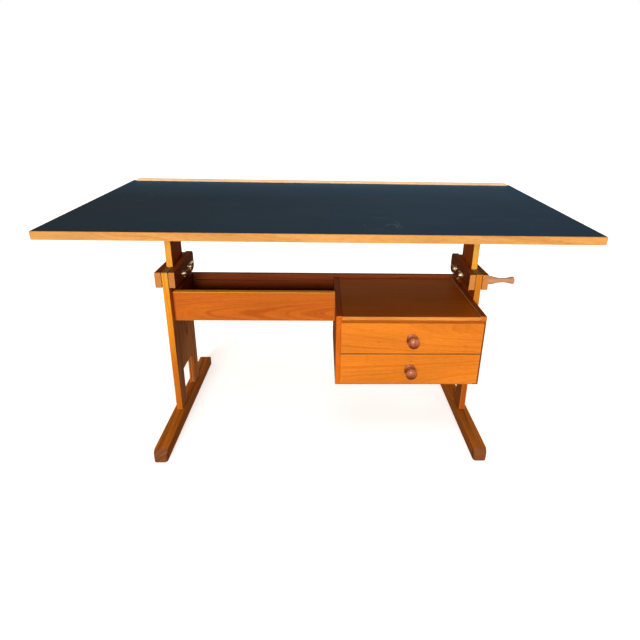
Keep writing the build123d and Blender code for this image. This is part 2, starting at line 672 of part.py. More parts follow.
tray_front = board(
    (-CARCASS_X, TRAY_FRONT, TRAY_BOTTOM_Z),
    (CABINET_LEFT, TRAY_FRONT + PANEL, TRAY_TOP_Z + 1),
)
tray_end = board(
    (-CARCASS_X, TRAY_FRONT + PANEL, TRAY_BOTTOM_Z),
    (TRAY_END - CARCASS_X, RAIL_FRONT, TRAY_TOP_Z),
    [carcass_screws],
)
tray_bottom = board(
    (TRAY_END - CARCASS_X, TRAY_FRONT + PANEL, TRAY_BOTTOM_Z + 4),
    (CABINET_LEFT, RAIL_FRONT, TRAY_BOTTOM_Z + 4 + TRAY_FLOOR),
)
back_rail = board(
    (-POST_INNER, RAIL_FRONT, TRAY_BOTTOM_Z),
    (POST_INNER, RAIL_BACK, TRAY_TOP_Z),
    [carcass_screws],
)
cabinet_side_left = board(
    (CABINET_LEFT, CABINET_FRONT, CABINET_BOTTOM_Z),
    (CABINET_INNER_LEFT, RAIL_FRONT, CABINET_SIDE_TOP),
    [carcass_screws],
)
cabinet_side_right = board(
    (CABINET_INNER_RIGHT, CABINET_FRONT, CABINET_BOTTOM_Z),
    (CARCASS_X, RAIL_FRONT, CABINET_SIDE_TOP),
    [carcass_screws],
)
cabinet_top = board(
    (CABINET_INNER_LEFT, CABINET_FRONT, CABINET_TOP_Z - CABINET_TOP),
    (CABINET_INNER_RIGHT, RAIL_FRONT, CABINET_TOP_Z),
)
cabinet_bottom = board(
    (CABINET_INNER_LEFT, CABINET_FRONT, CABINET_BOTTOM_Z),
    (CABINET_INNER_RIGHT, RAIL_FRONT - BACK_PANEL, CABINET_BOTTOM_Z + CABINET_FLOOR),
)
cabinet_back = board(
    (CABINET_INNER_LEFT, RAIL_FRONT - BACK_PANEL, CABINET_BOTTOM_Z),
    (CABINET_INNER_RIGHT, RAIL_FRONT, CABINET_TOP_Z - CABINET_TOP),
)
save(tray_front, "tray_front")
save(tray_end, "tray_end")
save(tray_bottom, "tray_bottom")
save(back_rail, "back_rail")
save(cabinet_side_left, "cabinet_side_left")
save(cabinet_side_right, "cabinet_side_right")
save(cabinet_top, "cabinet_top")
save(cabinet_bottom, "cabinet_bottom")
save(cabinet_back, "cabinet_back")

with BuildPart() as drawer_runners:
    runner_back = RAIL_FRONT - BACK_PANEL
    for drawer_z in (LOWER_DRAWER_Z, UPPER_DRAWER_Z):
        runner_z = drawer_z + DRAWER_BOX_RISE + RUNNER_RISE
        for wall, inward in ((CABINET_INNER_LEFT, 1), (CABINET_INNER_RIGHT, -1)):
            limits = sorted((wall, wall + inward * RUNNER_DEPTH))
            box_between(
                (limits[0], CABINET_FRONT + 6, runner_z - RUNNER_HEIGHT / 2),
                (limits[1], runner_back, runner_z + RUNNER_HEIGHT / 2),
            )
save(drawer_runners, "drawer_runners")

# ---- Drawers ----


def make_knob(drawer_z):
    """Turned spool-shaped knob with the round tenon that is glued into the drawer front."""
    base = (DRAWER_X, DRAWER_FACE, drawer_z + DRAWER_HEIGHT / 2)
    with BuildPart() as knob:
        with BuildSketch(turned_plane(base, (0, -1, 0))):
            with BuildLine():
                Polyline((0, 0), (0, 16.4), (1, 17.2), (3.6, 17.2))
                Spline((3.6, 17.2), (7, 13), (14, 10.4), (20, 12), (24.5, 16.4), tangents=((0.3, -1), (0.6, 1)))
                ThreePointArc((24.5, 16.4), (28.5, KNOB_RADIUS), (32.5, 15.8))
                ThreePointArc((32.5, 15.8), (36.6, 9.5), (KNOB_LENGTH, 2))
                Polyline((KNOB_LENGTH, 2), (KNOB_LENGTH, 0), (0, 0))
            make_face()
        revolve(axis=Axis(base, (0, -1, 0)))
        rod(base, (0, 1, 0), KNOB_TENON_RADIUS, DRAWER_FRONT - 3)
    return knob


def make_drawer(name, z):
    """Drawer of five pieces: front, pair of sides, back, bottom and knob."""
    box_low = z + DRAWER_BOX_RISE
    box_high = box_low + DRAWER_BOX_HEIGHT
    left = CABINET_INNER_LEFT + DRAWER_SIDE_GAP
    right = CABINET_INNER_RIGHT - DRAWER_SIDE_GAP
    back = DRAWER_BACK + DRAWER_BOX_LENGTH
    floor_low = box_low + DRAWER_FLOOR_RISE
    knob = make_knob(z)
    floor = board(
        (left + DRAWER_SIDE - FLOOR_GROOVE, DRAWER_BACK, floor_low),
        (right - DRAWER_SIDE + FLOOR_GROOVE, back - DRAWER_SIDE + FLOOR_GROOVE, floor_low + DRAWER_FLOOR),
    )
    front = board(
        (CABINET_INNER_LEFT - FRONT_OVERLAP, DRAWER_FACE, z),
        (CABINET_INNER_RIGHT + FRONT_OVERLAP, DRAWER_BACK, z + DRAWER_HEIGHT),
        [knob],
    )
    back_board = board(
        (left + DRAWER_SIDE, back - DRAWER_SIDE, box_low),
        (right - DRAWER_SIDE, back, box_high - 8),
        [floor],
    )
    groove_low = box_low + RUNNER_RISE - RUNNER_HEIGHT / 2 - RUNNER_PLAY
    groove_high = groove_low + RUNNER_HEIGHT + 2 * RUNNER_PLAY
    with BuildPart() as sides:
        for outer, inward in ((left, 1), (right, -1)):
            wall = sorted((outer, outer + inward * DRAWER_SIDE))
            groove = sorted((outer, outer + inward * GROOVE_DEPTH))
            box_between((wall[0], DRAWER_BACK, box_low), (wall[1], back, box_high))
            box_between(
                (groove[0], DRAWER_BACK + 5, groove_low),
                (groove[1], back, groove_high),
                mode=Mode.SUBTRACT,
            )
        add(floor.part, mode=Mode.SUBTRACT)
    save(front, f"drawer_{name}_front")
    save(sides, f"drawer_{name}_sides")
    save(back_board, f"drawer_{name}_back")
    save(floor, f"drawer_{name}_bottom")
    save(knob, f"drawer_{name}_knob")


make_drawer("upper", UPPER_DRAWER_Z)
make_drawer("lower", LOWER_DRAWER_Z)
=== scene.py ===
from collections import namedtuple
from math import cos, pi, radians, sin

import bmesh
import bpy
from mathutils import Matrix, Vector


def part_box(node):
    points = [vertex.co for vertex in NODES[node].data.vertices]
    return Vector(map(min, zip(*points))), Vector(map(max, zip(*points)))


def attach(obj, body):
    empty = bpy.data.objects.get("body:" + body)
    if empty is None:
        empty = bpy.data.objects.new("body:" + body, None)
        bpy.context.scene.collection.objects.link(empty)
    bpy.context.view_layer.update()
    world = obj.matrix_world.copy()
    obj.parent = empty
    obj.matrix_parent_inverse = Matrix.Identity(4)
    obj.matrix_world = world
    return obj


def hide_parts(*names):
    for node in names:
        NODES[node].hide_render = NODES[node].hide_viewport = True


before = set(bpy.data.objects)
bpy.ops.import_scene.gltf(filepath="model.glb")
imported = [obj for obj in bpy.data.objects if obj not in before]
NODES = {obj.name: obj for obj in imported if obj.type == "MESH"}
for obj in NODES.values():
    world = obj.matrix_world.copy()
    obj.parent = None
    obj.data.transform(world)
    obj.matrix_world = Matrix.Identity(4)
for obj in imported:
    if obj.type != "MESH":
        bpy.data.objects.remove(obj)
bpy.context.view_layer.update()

X, Y, Z = 0, 1, 2


# ---- Small helpers for node trees ----

def add(tree, kind, inputs=None, **settings):
    """One shader node, with its settings and its inputs set or linked."""
    node = tree.nodes.new(kind)
    for key, value in settings.items():
        setattr(node, key, value)
    for key, value in (inputs or {}).items():
        if isinstance(value, bpy.types.NodeSocket):
            tree.links.new(value, node.inputs[key])
        else:
            node.inputs[key].default_value = value
    return node


def maths(tree, operation, a, b=0.0):
    """Result of one Math node."""
    return add(tree, "ShaderNodeMath", {0: a, 1: b}, operation=operation).outputs[0]


def plus(tree, a, b):
    """Sum of two numbers or sockets."""
    return maths(tree, "ADD", a, b)


def minus(tree, a, b):
    """Difference of two numbers or sockets."""
    return maths(tree, "SUBTRACT", a, b)


def times(tree, a, b):
    """Product of two numbers or sockets."""
    return maths(tree, "MULTIPLY", a, b)


def length(tree, a, b):
    """Length of a flat vector with two parts."""
    return maths(tree, "SQRT", plus(tree, times(tree, a, a), times(tree, b, b)))


def own_place(tree):
    """Place of a point in its object's coordinates, in metres."""
    return add(tree, "ShaderNodeTexCoord").outputs["Object"]


def rotated(tree, place, angles):
    """Place turned by three angles."""
    return add(tree, "ShaderNodeMapping", {"Vector": place, "Rotation": angles}).outputs[0]


def parts_of(tree, place):
    """X, Y and Z of a place."""
    return add(tree, "ShaderNodeSeparateXYZ", {0: place}).outputs


def vector(tree, x, y, z):
    """Vector from three numbers or sockets."""
    return add(tree, "ShaderNodeCombineXYZ", {0: x, 1: y, 2: z}).outputs[0]


def noise(tree, place, scale, detail, roughness):
    """Value of a noise texture at a place."""
    inputs = {"Vector": place, "Scale": scale, "Detail": detail, "Roughness": roughness}
    return add(tree, "ShaderNodeTexNoise", inputs).outputs["Fac"]


def ramp(tree, value, stops):
    """Colour ramp through (position, colour) stops."""
    node = add(tree, "ShaderNodeValToRGB", {0: value})
    elements = node.color_ramp.elements
    elements.remove(elements[1])
    elements[0].position = stops[0][0]
    elements[0].color = (*stops[0][1], 1.0)
    for position, colour in stops[1:]:
        elements.new(position).color = (*colour, 1.0)
    return node.outputs[0]


def grey(value):
    """Grey colour of one value."""
    return (value, value, value)


def remap(tree, value, low, high, new_low, new_high):
    """Number moved from one range to another, held within it."""
    inputs = {"Value": value, "From Min": low, "From Max": high, "To Min": new_low, "To Max": new_high}
    return add(tree, "ShaderNodeMapRange", inputs).outputs[0]


def mix(tree, share, a, b, blend="MIX"):
    """Mix of two colours."""
    node = tree.nodes.new("ShaderNodeMix")
    node.data_type = "RGBA"
    node.blend_type = blend
    for socket, value in ((node.inputs[0], share), (node.inputs[6], a), (node.inputs[7], b)):
        if isinstance(value, bpy.types.NodeSocket):
            tree.links.new(value, socket)
        elif isinstance(value, float):
            socket.default_value = value
        else:
            socket.default_value = (*value, 1.0)
    return node.outputs[2]


def new_material(name):
    """New material with its principled shader: (material, tree, shader)."""
    material = bpy.data.materials.new(name)
    material.use_nodes = True
    tree = material.node_tree
    return material, tree, tree.nodes["Principled BSDF"]


def bump(tree, shader, height, distance, strength):
    """Bump of a height socket, in metres."""
    node = add(tree, "ShaderNodeBump", {"Height": height, "Distance": distance, "Strength": strength})
    tree.links.new(node.outputs[0], shader.inputs["Normal"])


# ---- Materials ----

# Look of one kind of wood: its tone, or tones by height in metres, which paint light and shade; the tone of
# its growth lines, their number per metre of radius and their strength; its roughness; the strength of its
# pores and of its lighter edges, worn and with painted highlight; and the weight of its varnish
Wood = namedtuple("Wood", "tone line rings strength rough pores wear coat", defaults=(0.45, 1.0, 0.0))
WOODS = {
    "band": Wood((0.80, 0.39, 0.11), (0.62, 0.25, 0.05), 520, 0.55, 0.5, pores=0.5),
    "strip": Wood((0.86, 0.60, 0.36), (0.74, 0.45, 0.22), 520, 0.5, 0.5),
    # Tones by height, darker towards the floor: painted shade for the light falling off down the front faces
    "edge": Wood(
        [(0.04, (0.46, 0.10, 0.004)), (0.22, (0.56, 0.14, 0.005)), (0.34, (0.84, 0.28, 0.012)),
         (0.46, (0.94, 0.36, 0.018)), (0.58, (0.90, 0.42, 0.04)), (0.70, (0.86, 0.44, 0.09))],
        (0.60, 0.19, 0.012), 420, 0.45, 0.5,
    ),
    # Darker copy of edge for the right front post's front face: more painted shade, darkest towards the floor
    "edge deep": Wood(
        [(0.04, (0.34, 0.065, 0.003)), (0.22, (0.40, 0.08, 0.003)), (0.36, (0.66, 0.18, 0.008)),
         (0.57, (0.72, 0.24, 0.014))],
        (0.50, 0.14, 0.008), 420, 0.45, 0.5,
    ),
    # Tones by height, paler and greyer low down: painted bounce light from the floor on the legs' inner faces
    "board": Wood(
        [(0.20, (0.66, 0.30, 0.13)), (0.38, (0.58, 0.24, 0.09)), (0.52, (0.60, 0.10, 0.006))],
        (0.17, 0.04, 0.009), 300, 0.6, 0.5,
    ),
    # Copy of board for the right-hand legs, without its painted bounce light; darker towards the floor
    "board deep": Wood(
        [(0.20, (0.42, 0.13, 0.016)), (0.52, (0.56, 0.11, 0.005))],
        (0.17, 0.04, 0.006), 300, 0.6, 0.5,
    ),
    "foot": Wood((0.56, 0.165, 0.010), (0.20, 0.045, 0.004), 190, 0.95, 0.5, pores=0.8, wear=0.5),
    "foot end": Wood((0.25, 0.078, 0.020), (0.10, 0.030, 0.010), 300, 0.8, 0.6),
    "cheek": Wood((0.27, 0.052, 0.007), (0.11, 0.018, 0.003), 330, 0.7, 0.45, pores=0.6, wear=0.4),
    "cheek end": Wood((0.70, 0.27, 0.065), (0.46, 0.15, 0.035), 500, 0.5, 0.6),
    "post end": Wood((0.24, 0.16, 0.07), (0.13, 0.08, 0.035), 500, 0.5, 0.7),
    "tray": Wood((0.66, 0.155, 0.011), (0.44, 0.078, 0.004), 330, 0.7, 0.45, coat=0.05),
    # Painted shade: the tray's inside boards made dark for the shade under the work top
    "inside": Wood((0.19, 0.032, 0.003), (0.10, 0.015, 0.001), 260, 0.6, 0.45, wear=0.3),
    # Painted shadow: the dark line in the gap between the drawers
    "painted gap shadow": Wood((0.12, 0.022, 0.004), (0.06, 0.010, 0.002), 260, 0.4, 0.7),
    "carcass": Wood((0.36, 0.085, 0.002), (0.23, 0.048, 0.001), 340, 0.6, 0.4, wear=0.0),
    # Painted shade: darker tops of the cabinet sides, under the work top
    "carcass top": Wood((0.26, 0.045, 0.004), (0.14, 0.022, 0.002), 260, 0.5, 0.5),
    "carcass lip": Wood((0.78, 0.31, 0.06), (0.62, 0.20, 0.03), 420, 0.5, 0.5),
    "carcass edge": Wood((0.72, 0.16, 0.007), (0.50, 0.09, 0.004), 420, 0.5, 0.5),
    # Painted shadow of the upper drawer front on the right side's front edge: dark beside the drawer, orange
    # above it
    "carcass painted shadow": Wood(
        [(0.457, (0.26, 0.05, 0.004)), (0.467, (0.72, 0.20, 0.012))],
        (0.16, 0.03, 0.003), 420, 0.4, 0.5,
    ),
    "drawer": Wood((0.80, 0.235, 0.018), (0.62, 0.135, 0.007), 420, 0.6, 0.45, pores=0.5, coat=0.05),
    # Painted shade and highlight: each knob dark at its bottom and light at its top, by height
    "knob": Wood(
        [(0.297, (0.12, 0.014, 0.003)), (0.307, (0.40, 0.10, 0.035)), (0.317, (0.56, 0.18, 0.08)),
         (0.350, (0.12, 0.014, 0.003)), (0.402, (0.12, 0.014, 0.003)), (0.412, (0.40, 0.10, 0.035)),
         (0.422, (0.56, 0.18, 0.08))],
        (0.10, 0.018, 0.006), 500, 0.7, 0.3, coat=0.5,
    ),
    "handle": Wood((0.63, 0.33, 0.18), (0.44, 0.20, 0.10), 600, 0.6, 0.55),
    "beech": Wood((0.60, 0.40, 0.22), (0.46, 0.28, 0.14), 420, 0.5, 0.6),
    "core": Wood((0.40, 0.24, 0.12), (0.30, 0.17, 0.08), 200, 0.5, 0.7),
}
PORE_COLOUR = (0.03, 0.01, 0.004)
# Lighter colour at the boxes' edges: worn finish, and painted highlight where the rounded edges catch the
# light
WORN_AND_SHEEN_COLOUR = (0.80, 0.34, 0.07)
SWAY = 0.009                # how far the growth lines wander, in metres
TONE_HEIGHT = 0.8           # top of the range over which tones by height run, in metres
REST_TILT = radians(3)      # of the work top, about the X axis


def wood_tone(tree, kind, rings, fibres, height):
    """Colour of one kind of wood from its growth lines and fibres, and its height above the floor."""
    recipe = WOODS[kind]
    tone = recipe.tone
    if isinstance(tone, list):
        tone = ramp(tree, maths(tree, "DIVIDE", height, TONE_HEIGHT), [(z / TONE_HEIGHT, c) for z, c in tone])
    colour = mix(tree, remap(tree, rings, 0.48, 0.64, 0.0, recipe.strength), tone, recipe.line)
    return mix(tree, remap(tree, fibres, 0.42, 0.78, 0.0, 0.4), colour, recipe.line)


def near_edges(tree, parts, low, high):
    """One close to the edges of a box and zero away from them."""
    distances = []
    for axis in (X, Y, Z):
        below = minus(tree, parts[axis], low[axis])
        above = minus(tree, high[axis], parts[axis])
        distances.append(maths(tree, "MINIMUM", below, above))
    near = maths(tree, "MINIMUM", distances[0], distances[1])
    far = maths(tree, "MAXIMUM", distances[0], distances[1])
    second = maths(tree, "MAXIMUM", near, maths(tree, "MINIMUM", far, distances[2]))
    return remap(tree, second, 0.0004, 0.0022, 1.0, 0.0)


def wood(name, kind, grain, low, high, pith, taper, seed, lips, tilted):
    """Wood whose growth rings run round a pith line near the board, with fibres and pores along the grain.

    low and high are the board's corners, and pith the place of the pith line from its centre across the
    grain. taper is the pith line's lean along the grain, and seed moves the pattern. lips are faces with
    another tone: (kind, axis, side, depth); some are another kind of wood, some are painted light and shade.
    A tilted board belongs to the work top, whose own axes it follows.
    """
    recipe = WOODS[kind]
    material, tree, shader = new_material(name)
    place = own_place(tree)
    if tilted:
        place = rotated(tree, place, (-REST_TILT, 0, 0))
    parts = parts_of(tree, place)
    middle = (low + high) / 2
    across = [axis for axis in (X, Y, Z) if axis != grain]
    along = plus(tree, parts[grain], seed - middle[grain])
    side = minus(tree, parts[across[0]], middle[across[0]])
    deep = minus(tree, parts[across[1]], middle[across[1]])

    def stretched(grain_scale, cross_scale, detail, roughness=0.5):
        """Noise drawn out along the grain."""
        drawn_along = times(tree, along, grain_scale)
        drawn_side = times(tree, side, cross_scale)
        drawn_deep = times(tree, deep, cross_scale)
        return noise(tree, vector(tree, drawn_along, drawn_side, drawn_deep), 1.0, detail, roughness)

    sway = remap(tree, stretched(3.0, 7, 2.0), 0, 1, -SWAY, SWAY)
    lean = times(tree, minus(tree, along, seed), taper)
    ring_side = plus(tree, minus(tree, side, pith[0]), plus(tree, lean, sway))
    ring_deep = minus(tree, deep, pith[1])
    radius = length(tree, ring_side, ring_deep)
    ring_place = vector(tree, times(tree, radius, recipe.rings), times(tree, along, 0.9), seed)
    rings = noise(tree, ring_place, 1.0, 3.0, 0.6)
    fibres = stretched(8, 420, 3.0, 0.65)
    pores = remap(tree, stretched(45, 1100, 1.0), 0.58, 0.68, 0.0, 1.0)
    clouds = stretched(3, 12, 2.0)

    colour = wood_tone(tree, kind, rings, fibres, parts[Z])
    for lip_kind, axis, lip_side, depth in lips:
        limit = high[axis] - depth if lip_side > 0 else low[axis] + depth
        beyond = times(tree, minus(tree, parts[axis], limit), float(lip_side))
        lip = wood_tone(tree, lip_kind, rings, fibres, parts[Z])
        colour = mix(tree, maths(tree, "GREATER_THAN", beyond, 0.0), colour, lip)
    colour = mix(tree, times(tree, pores, recipe.pores), colour, mix(tree, 0.55, colour, PORE_COLOUR))
    shade = remap(tree, clouds, 0.25, 0.75, 0.86, 1.1)
    colour = mix(tree, 1.0, colour, vector(tree, shade, shade, shade), "MULTIPLY")
    # Edges lightened: wear, and painted highlight of the rounded edges
    worn_and_sheen = times(tree, near_edges(tree, parts, low, high), remap(tree, clouds, 0.3, 0.6, 0.15, 0.45))
    colour = mix(tree, times(tree, worn_and_sheen, recipe.wear), colour, WORN_AND_SHEEN_COLOUR)
    tree.links.new(colour, shader.inputs["Base Color"])
    rough = remap(tree, fibres, 0.2, 0.8, recipe.rough - 0.05, recipe.rough + 0.1)
    tree.links.new(rough, shader.inputs["Roughness"])
    shader.inputs["Specular IOR Level"].default_value = 0.12
    shader.inputs["Coat Weight"].default_value = recipe.coat
    shader.inputs["Coat Roughness"].default_value = 0.22
    bump(tree, shader, minus(tree, times(tree, fibres, 0.4), pores), 0.00025, 0.6)
    return material


# Curved scuffs on the work surface: x and y of the middle, and radius, in metres
SCUFFS = ((0.145, -0.235, 0.034), (0.150, -0.225, 0.060), (0.185, -0.245, 0.016), (0.192, -0.250, 0.022),
          (-0.62, 0.04, 0.045))
SCUFF_COLOUR = (0.12, 0.16, 0.19)


def scratches(tree, place):
    """Thin straight scratches in three directions, in a few patches."""
    found = 0.0
    for angle, seed in ((25, 3.0), (-38, 7.0), (80, 11.0)):
        along, across, _ = parts_of(tree, rotated(tree, place, (0, 0, radians(angle))))
        line_place = vector(tree, times(tree, along, 26), times(tree, across, 900), seed)
        lines = remap(tree, noise(tree, line_place, 1.0, 0.0, 0.5), 0.79, 0.83, 0.0, 1.0)
        found = maths(tree, "MAXIMUM", lines, found)
    patches = remap(tree, noise(tree, place, 5.0, 2.0, 0.5), 0.50, 0.62, 0.0, 1.0)
    return times(tree, found, patches)


def scuffs(tree, place, parts):
    """Broken arcs of the scuffs."""
    breaks = remap(tree, noise(tree, place, 26.0, 1.0, 0.5), 0.48, 0.56, 0.0, 1.0)
    flecks = times(tree, breaks, remap(tree, noise(tree, place, 90.0, 2.0, 0.6), 0.35, 0.55, 0.3, 1.0))
    found = 0.0
    for x, y, radius in SCUFFS:
        distance = length(tree, minus(tree, parts[X], x), minus(tree, parts[Y], y))
        off = maths(tree, "ABSOLUTE", minus(tree, distance, radius))
        arc = times(tree, remap(tree, off, 0.0006, 0.0022, 0.8, 0.0), flecks)
        found = maths(tree, "MAXIMUM", arc, found)
    return found


def laminate(name):
    """Dark blue-black laminate: fine pebbled surface, smudges, a few pale scratches and scuffs."""
    material, tree, shader = new_material(name)
    place = own_place(tree)
    parts = parts_of(tree, place)
    smudge = noise(tree, place, 3.2, 4.0, 0.6)
    colour = ramp(tree, smudge, [(0.3, (0.009, 0.031, 0.060)), (0.7, (0.012, 0.038, 0.072))])
    to_right = remap(tree, parts[X], -0.75, 0.55, 0.0, 1.0)
    colour = mix(tree, to_right, mix(tree, 0.8, colour, (0.009, 0.021, 0.032)), colour)
    to_rear = remap(tree, parts[Y], 0.05, 0.30, 0.0, 0.6)
    colour = mix(tree, to_rear, colour, (0.009, 0.058, 0.118))
    marks = maths(tree, "MAXIMUM", scuffs(tree, place, parts), scratches(tree, place))
    colour = mix(tree, times(tree, marks, 0.5), colour, SCUFF_COLOUR)
    tree.links.new(colour, shader.inputs["Base Color"])
    wipe_place = vector(tree, times(tree, parts[X], 2.2), times(tree, parts[Y], 9), 0.0)
    wipes = noise(tree, wipe_place, 1.0, 3.0, 0.5)
    tree.links.new(remap(tree, wipes, 0.3, 0.7, 0.46, 0.54), shader.inputs["Roughness"])
    shader.inputs["Specular IOR Level"].default_value = 0.05
    bump(tree, shader, noise(tree, place, 1400.0, 1.0, 0.5), 0.00008, 0.4)
    return material


def brass(name):
    """Brass, darker and browner in patches."""
    material, tree, shader = new_material(name)
    place = own_place(tree)
    stain = noise(tree, place, 90.0, 3.0, 0.6)
    colour = ramp(tree, stain, [(0.4, (0.98, 0.86, 0.56)), (0.75, (0.62, 0.47, 0.22))])
    tree.links.new(colour, shader.inputs["Base Color"])
    tree.links.new(remap(tree, stain, 0.3, 0.8, 0.30, 0.5), shader.inputs["Roughness"])
    shader.inputs["Metallic"].default_value = 1.0
    bump(tree, shader, noise(tree, place, 700.0, 2.0, 0.6), 0.00005, 0.4)
    return material


def steel(name):
    """Zinc-plated steel with fine brushing."""
    material, tree, shader = new_material(name)
    brushed = add(tree, "ShaderNodeMapping", {"Vector": own_place(tree), "Scale": (60, 40, 1400)}).outputs[0]
    lines = noise(tree, brushed, 1.0, 2.0, 0.6)
    tree.links.new(ramp(tree, lines, [(0.3, grey(0.42)), (0.7, grey(0.56))]), shader.inputs["Base Color"])
    tree.links.new(remap(tree, lines, 0.3, 0.7, 0.3, 0.42), shader.inputs["Roughness"])
    shader.inputs["Metallic"].default_value = 1.0
    bump(tree, shader, lines, 0.00004, 0.5)
    return material


def mottled(name, light, dark, scale):
    """Felt or moulded plastic: mottled and matt."""
    material, tree, shader = new_material(name)
    specks = noise(tree, own_place(tree), scale, 4.0, 0.7)
    tree.links.new(ramp(tree, specks, [(0.35, light), (0.65, dark)]), shader.inputs["Base Color"])
    tree.links.new(remap(tree, specks, 0.3, 0.7, 0.7, 0.9), shader.inputs["Roughness"])
    bump(tree, shader, specks, 0.0003, 0.5)
    return material


# ---- Finish of the CAD pieces ----

# For each board: kind of wood, grain direction, the pith line's place across the grain, and its lean along it
BOARDS = {
    "foot_left": ("foot", Y, (0.02, -0.05), 0.05),
    "foot_right": ("foot", Y, (-0.015, -0.055), -0.05),
    "front_post_left": ("board", Z, (0.10, -0.05), 0.04),
    "front_post_right": ("board deep", Z, (-0.12, -0.06), 0.04),
    "rear_post_left": ("board", Z, (0.10, 0.08), 0.04),
    "rear_post_right": ("board deep", Z, (-0.11, 0.07), 0.04),
    "column_left": ("board", Z, (0.05, 0.02), 0.05),
    "column_right": ("board deep", Z, (-0.04, -0.02), 0.05),
    "column_tongues": ("beech", Z, (0.1, 0.1), 0.04),
    "inner_cheek_left": ("cheek", Y, (0.05, 0.03), 0.06),
    "inner_cheek_right": ("cheek", Y, (-0.05, 0.02), -0.06),
    "outer_cheek_left": ("cheek", Y, (-0.04, -0.05), 0.05),
    "outer_cheek_right": ("cheek", Y, (0.05, -0.04), 0.05),
    "tray_front": ("tray", X, (0.035, -0.025), 0.07),
    "tray_end": ("inside", Y, (0.05, 0.0), 0.04),
    "tray_bottom": ("inside", X, (0.0, 0.06), 0.04),
    "back_rail": ("inside", X, (0.05, 0.01), 0.04),
    "cabinet_side_left": ("carcass", Y, (0.06, 0.02), 0.04),
    "cabinet_side_right": ("carcass", Y, (-0.06, 0.0), 0.04),
    "cabinet_top": ("carcass", X, (0.04, 0.05), 0.04),
    "cabinet_bottom": ("carcass", X, (0.0, 0.06), 0.04),
    "cabinet_back": ("beech", X, (0.08, 0.0), 0.04),
    "drawer_runners": ("beech", Y, (0.1, 0.1), 0.04),
    "cheek_dowels": ("beech", X, (0.1, 0.1), 0.04),
    "drawer_upper_front": ("drawer", X, (0.12, 0.05), 0.05),
    "drawer_lower_front": ("drawer", X, (0.10, -0.07), 0.05),
    "drawer_upper_sides": ("beech", Y, (0.2, 0.1), 0.04),
    "drawer_lower_sides": ("beech", Y, (0.2, 0.12), 0.04),
    "drawer_upper_back": ("beech", X, (0.1, 0.1), 0.04),
    "drawer_lower_back": ("beech", X, (0.12, 0.1), 0.04),
    "drawer_upper_bottom": ("beech", X, (0.0, 0.09), 0.04),
    "drawer_lower_bottom": ("beech", X, (0.0, 0.11), 0.04),
    "drawer_upper_knob": ("knob", Y, (0.03, 0.01), 0.04),
    "drawer_lower_knob": ("knob", Y, (0.02, -0.02), 0.04),
    "clamp_handle": ("handle", X, (0.03, 0.02), 0.04),
    "front_edge_band": ("band", X, (0.14, 0.03), 0.02),
    "rear_edge_band": ("band", X, (0.14, 0.03), 0.02),
    "side_edge_bands": ("band", Y, (0.2, 0.05), 0.03),
    "stop_strip": ("strip", X, (0.1, 0.1), 0.03),
    "battens": ("beech", Y, (0.1, 0.08), 0.04),
    "top_core": ("core", X, (0.0, 0.12), 0.04),
}
LIP = 0.0025                # thickness of the faces that look like edges or end grain, lighter partly by painted light, in metres
# Boards that lie with the work top
TILTED = ("front_edge_band", "rear_edge_band", "side_edge_bands", "stop_strip", "battens", "top_core")
# Faces with another tone, for each board whose name holds the key: (kind, axis, side, depth). Many edge and
# end-grain faces are partly painted light, front faces lighter than the darker sides; painted shade, shadow
# and highlight lines are named where they stand
LIPS = {
    "foot": [("foot end", Y, -1, 0.0165), ("foot end", Y, 1, 0.0165)],
    "post": [("edge", Y, -1, LIP), ("edge", Y, 1, LIP), ("post end", Z, 1, LIP)],
    "front_post_right": [("edge deep", Y, -1, LIP)],
    "column": [("edge", Y, -1, LIP), ("edge", Y, 1, LIP)],
    "cheek": [("cheek end", Y, -1, LIP), ("cheek end", Y, 1, LIP)],
    # Painted highlight: the tray front's top face and arris lighter
    "tray_front": [("edge", Z, 1, LIP)],
    # carcass top: painted shade on the sides' tops
    "cabinet_side": [("carcass edge", Y, -1, LIP), ("carcass top", Z, 1, 0.0008)],
    # carcass painted shadow on the front edge beside the drawers; handle tone on the inner face: a painted
    # highlight, seen as a pale line along its top edge
    "cabinet_side_right": [("carcass painted shadow", Y, -1, LIP), ("handle", X, -1, 0.0006)],
    "cabinet_top": [("carcass lip", Y, -1, LIP)],
    # Painted shadow along the upper drawer front's bottom edge, in the gap between the drawers
    "drawer_upper_front": [("painted gap shadow", Z, -1, 0.0016)],
    # carcass lip: painted highlight along the lower drawer's top edge, over a hairline of painted shadow in
    # the gap
    "drawer_lower_front": [("carcass lip", Z, 1, 0.0014), ("painted gap shadow", Z, 1, 0.0003)],
    "cabinet_bottom": [("carcass edge", Y, -1, LIP)],
}
EDGE_ROUND = 0.0012         # softened edges of the boards, in metres
METAL_ROUND = 0.0004        # softened edges of the brass
SEED_STEP = 3.7             # between the patterns of two boards


def finish_node(name, material, edge=EDGE_ROUND):
    """Gives a CAD node its material, and if it has an edge width, welds its corners and softens its edges."""
    node = NODES[name]
    node.data.materials.clear()
    node.data.materials.append(material)
    for polygon in node.data.polygons:
        polygon.use_smooth = True
    if edge:
        weld = node.modifiers.new("weld", "WELD")
        weld.merge_threshold = 0.00001
        bevel = node.modifiers.new("softened edges", "BEVEL")
        bevel.width = edge
        bevel.segments = 3
        bevel.limit_method = "ANGLE"
        bevel.angle_limit = radians(40)
        normals = node.modifiers.new("flat faces", "WEIGHTED_NORMAL")
        normals.mode = "FACE_AREA"
        normals.weight = 100
        normals.keep_sharp = False


def board_corners(name):
    """Lowest and highest corners of a board, along the work top's own axes if it lies with it."""
    if name not in TILTED:
        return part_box(name)
    turn = Matrix.Rotation(-REST_TILT, 3, "X")
    corners = [turn @ vertex.co for vertex in NODES[name].data.vertices]
    low = Vector([min(corner[axis] for corner in corners) for axis in (X, Y, Z)])
    high = Vector([max(corner[axis] for corner in corners) for axis in (X, Y, Z)])
    return low, high


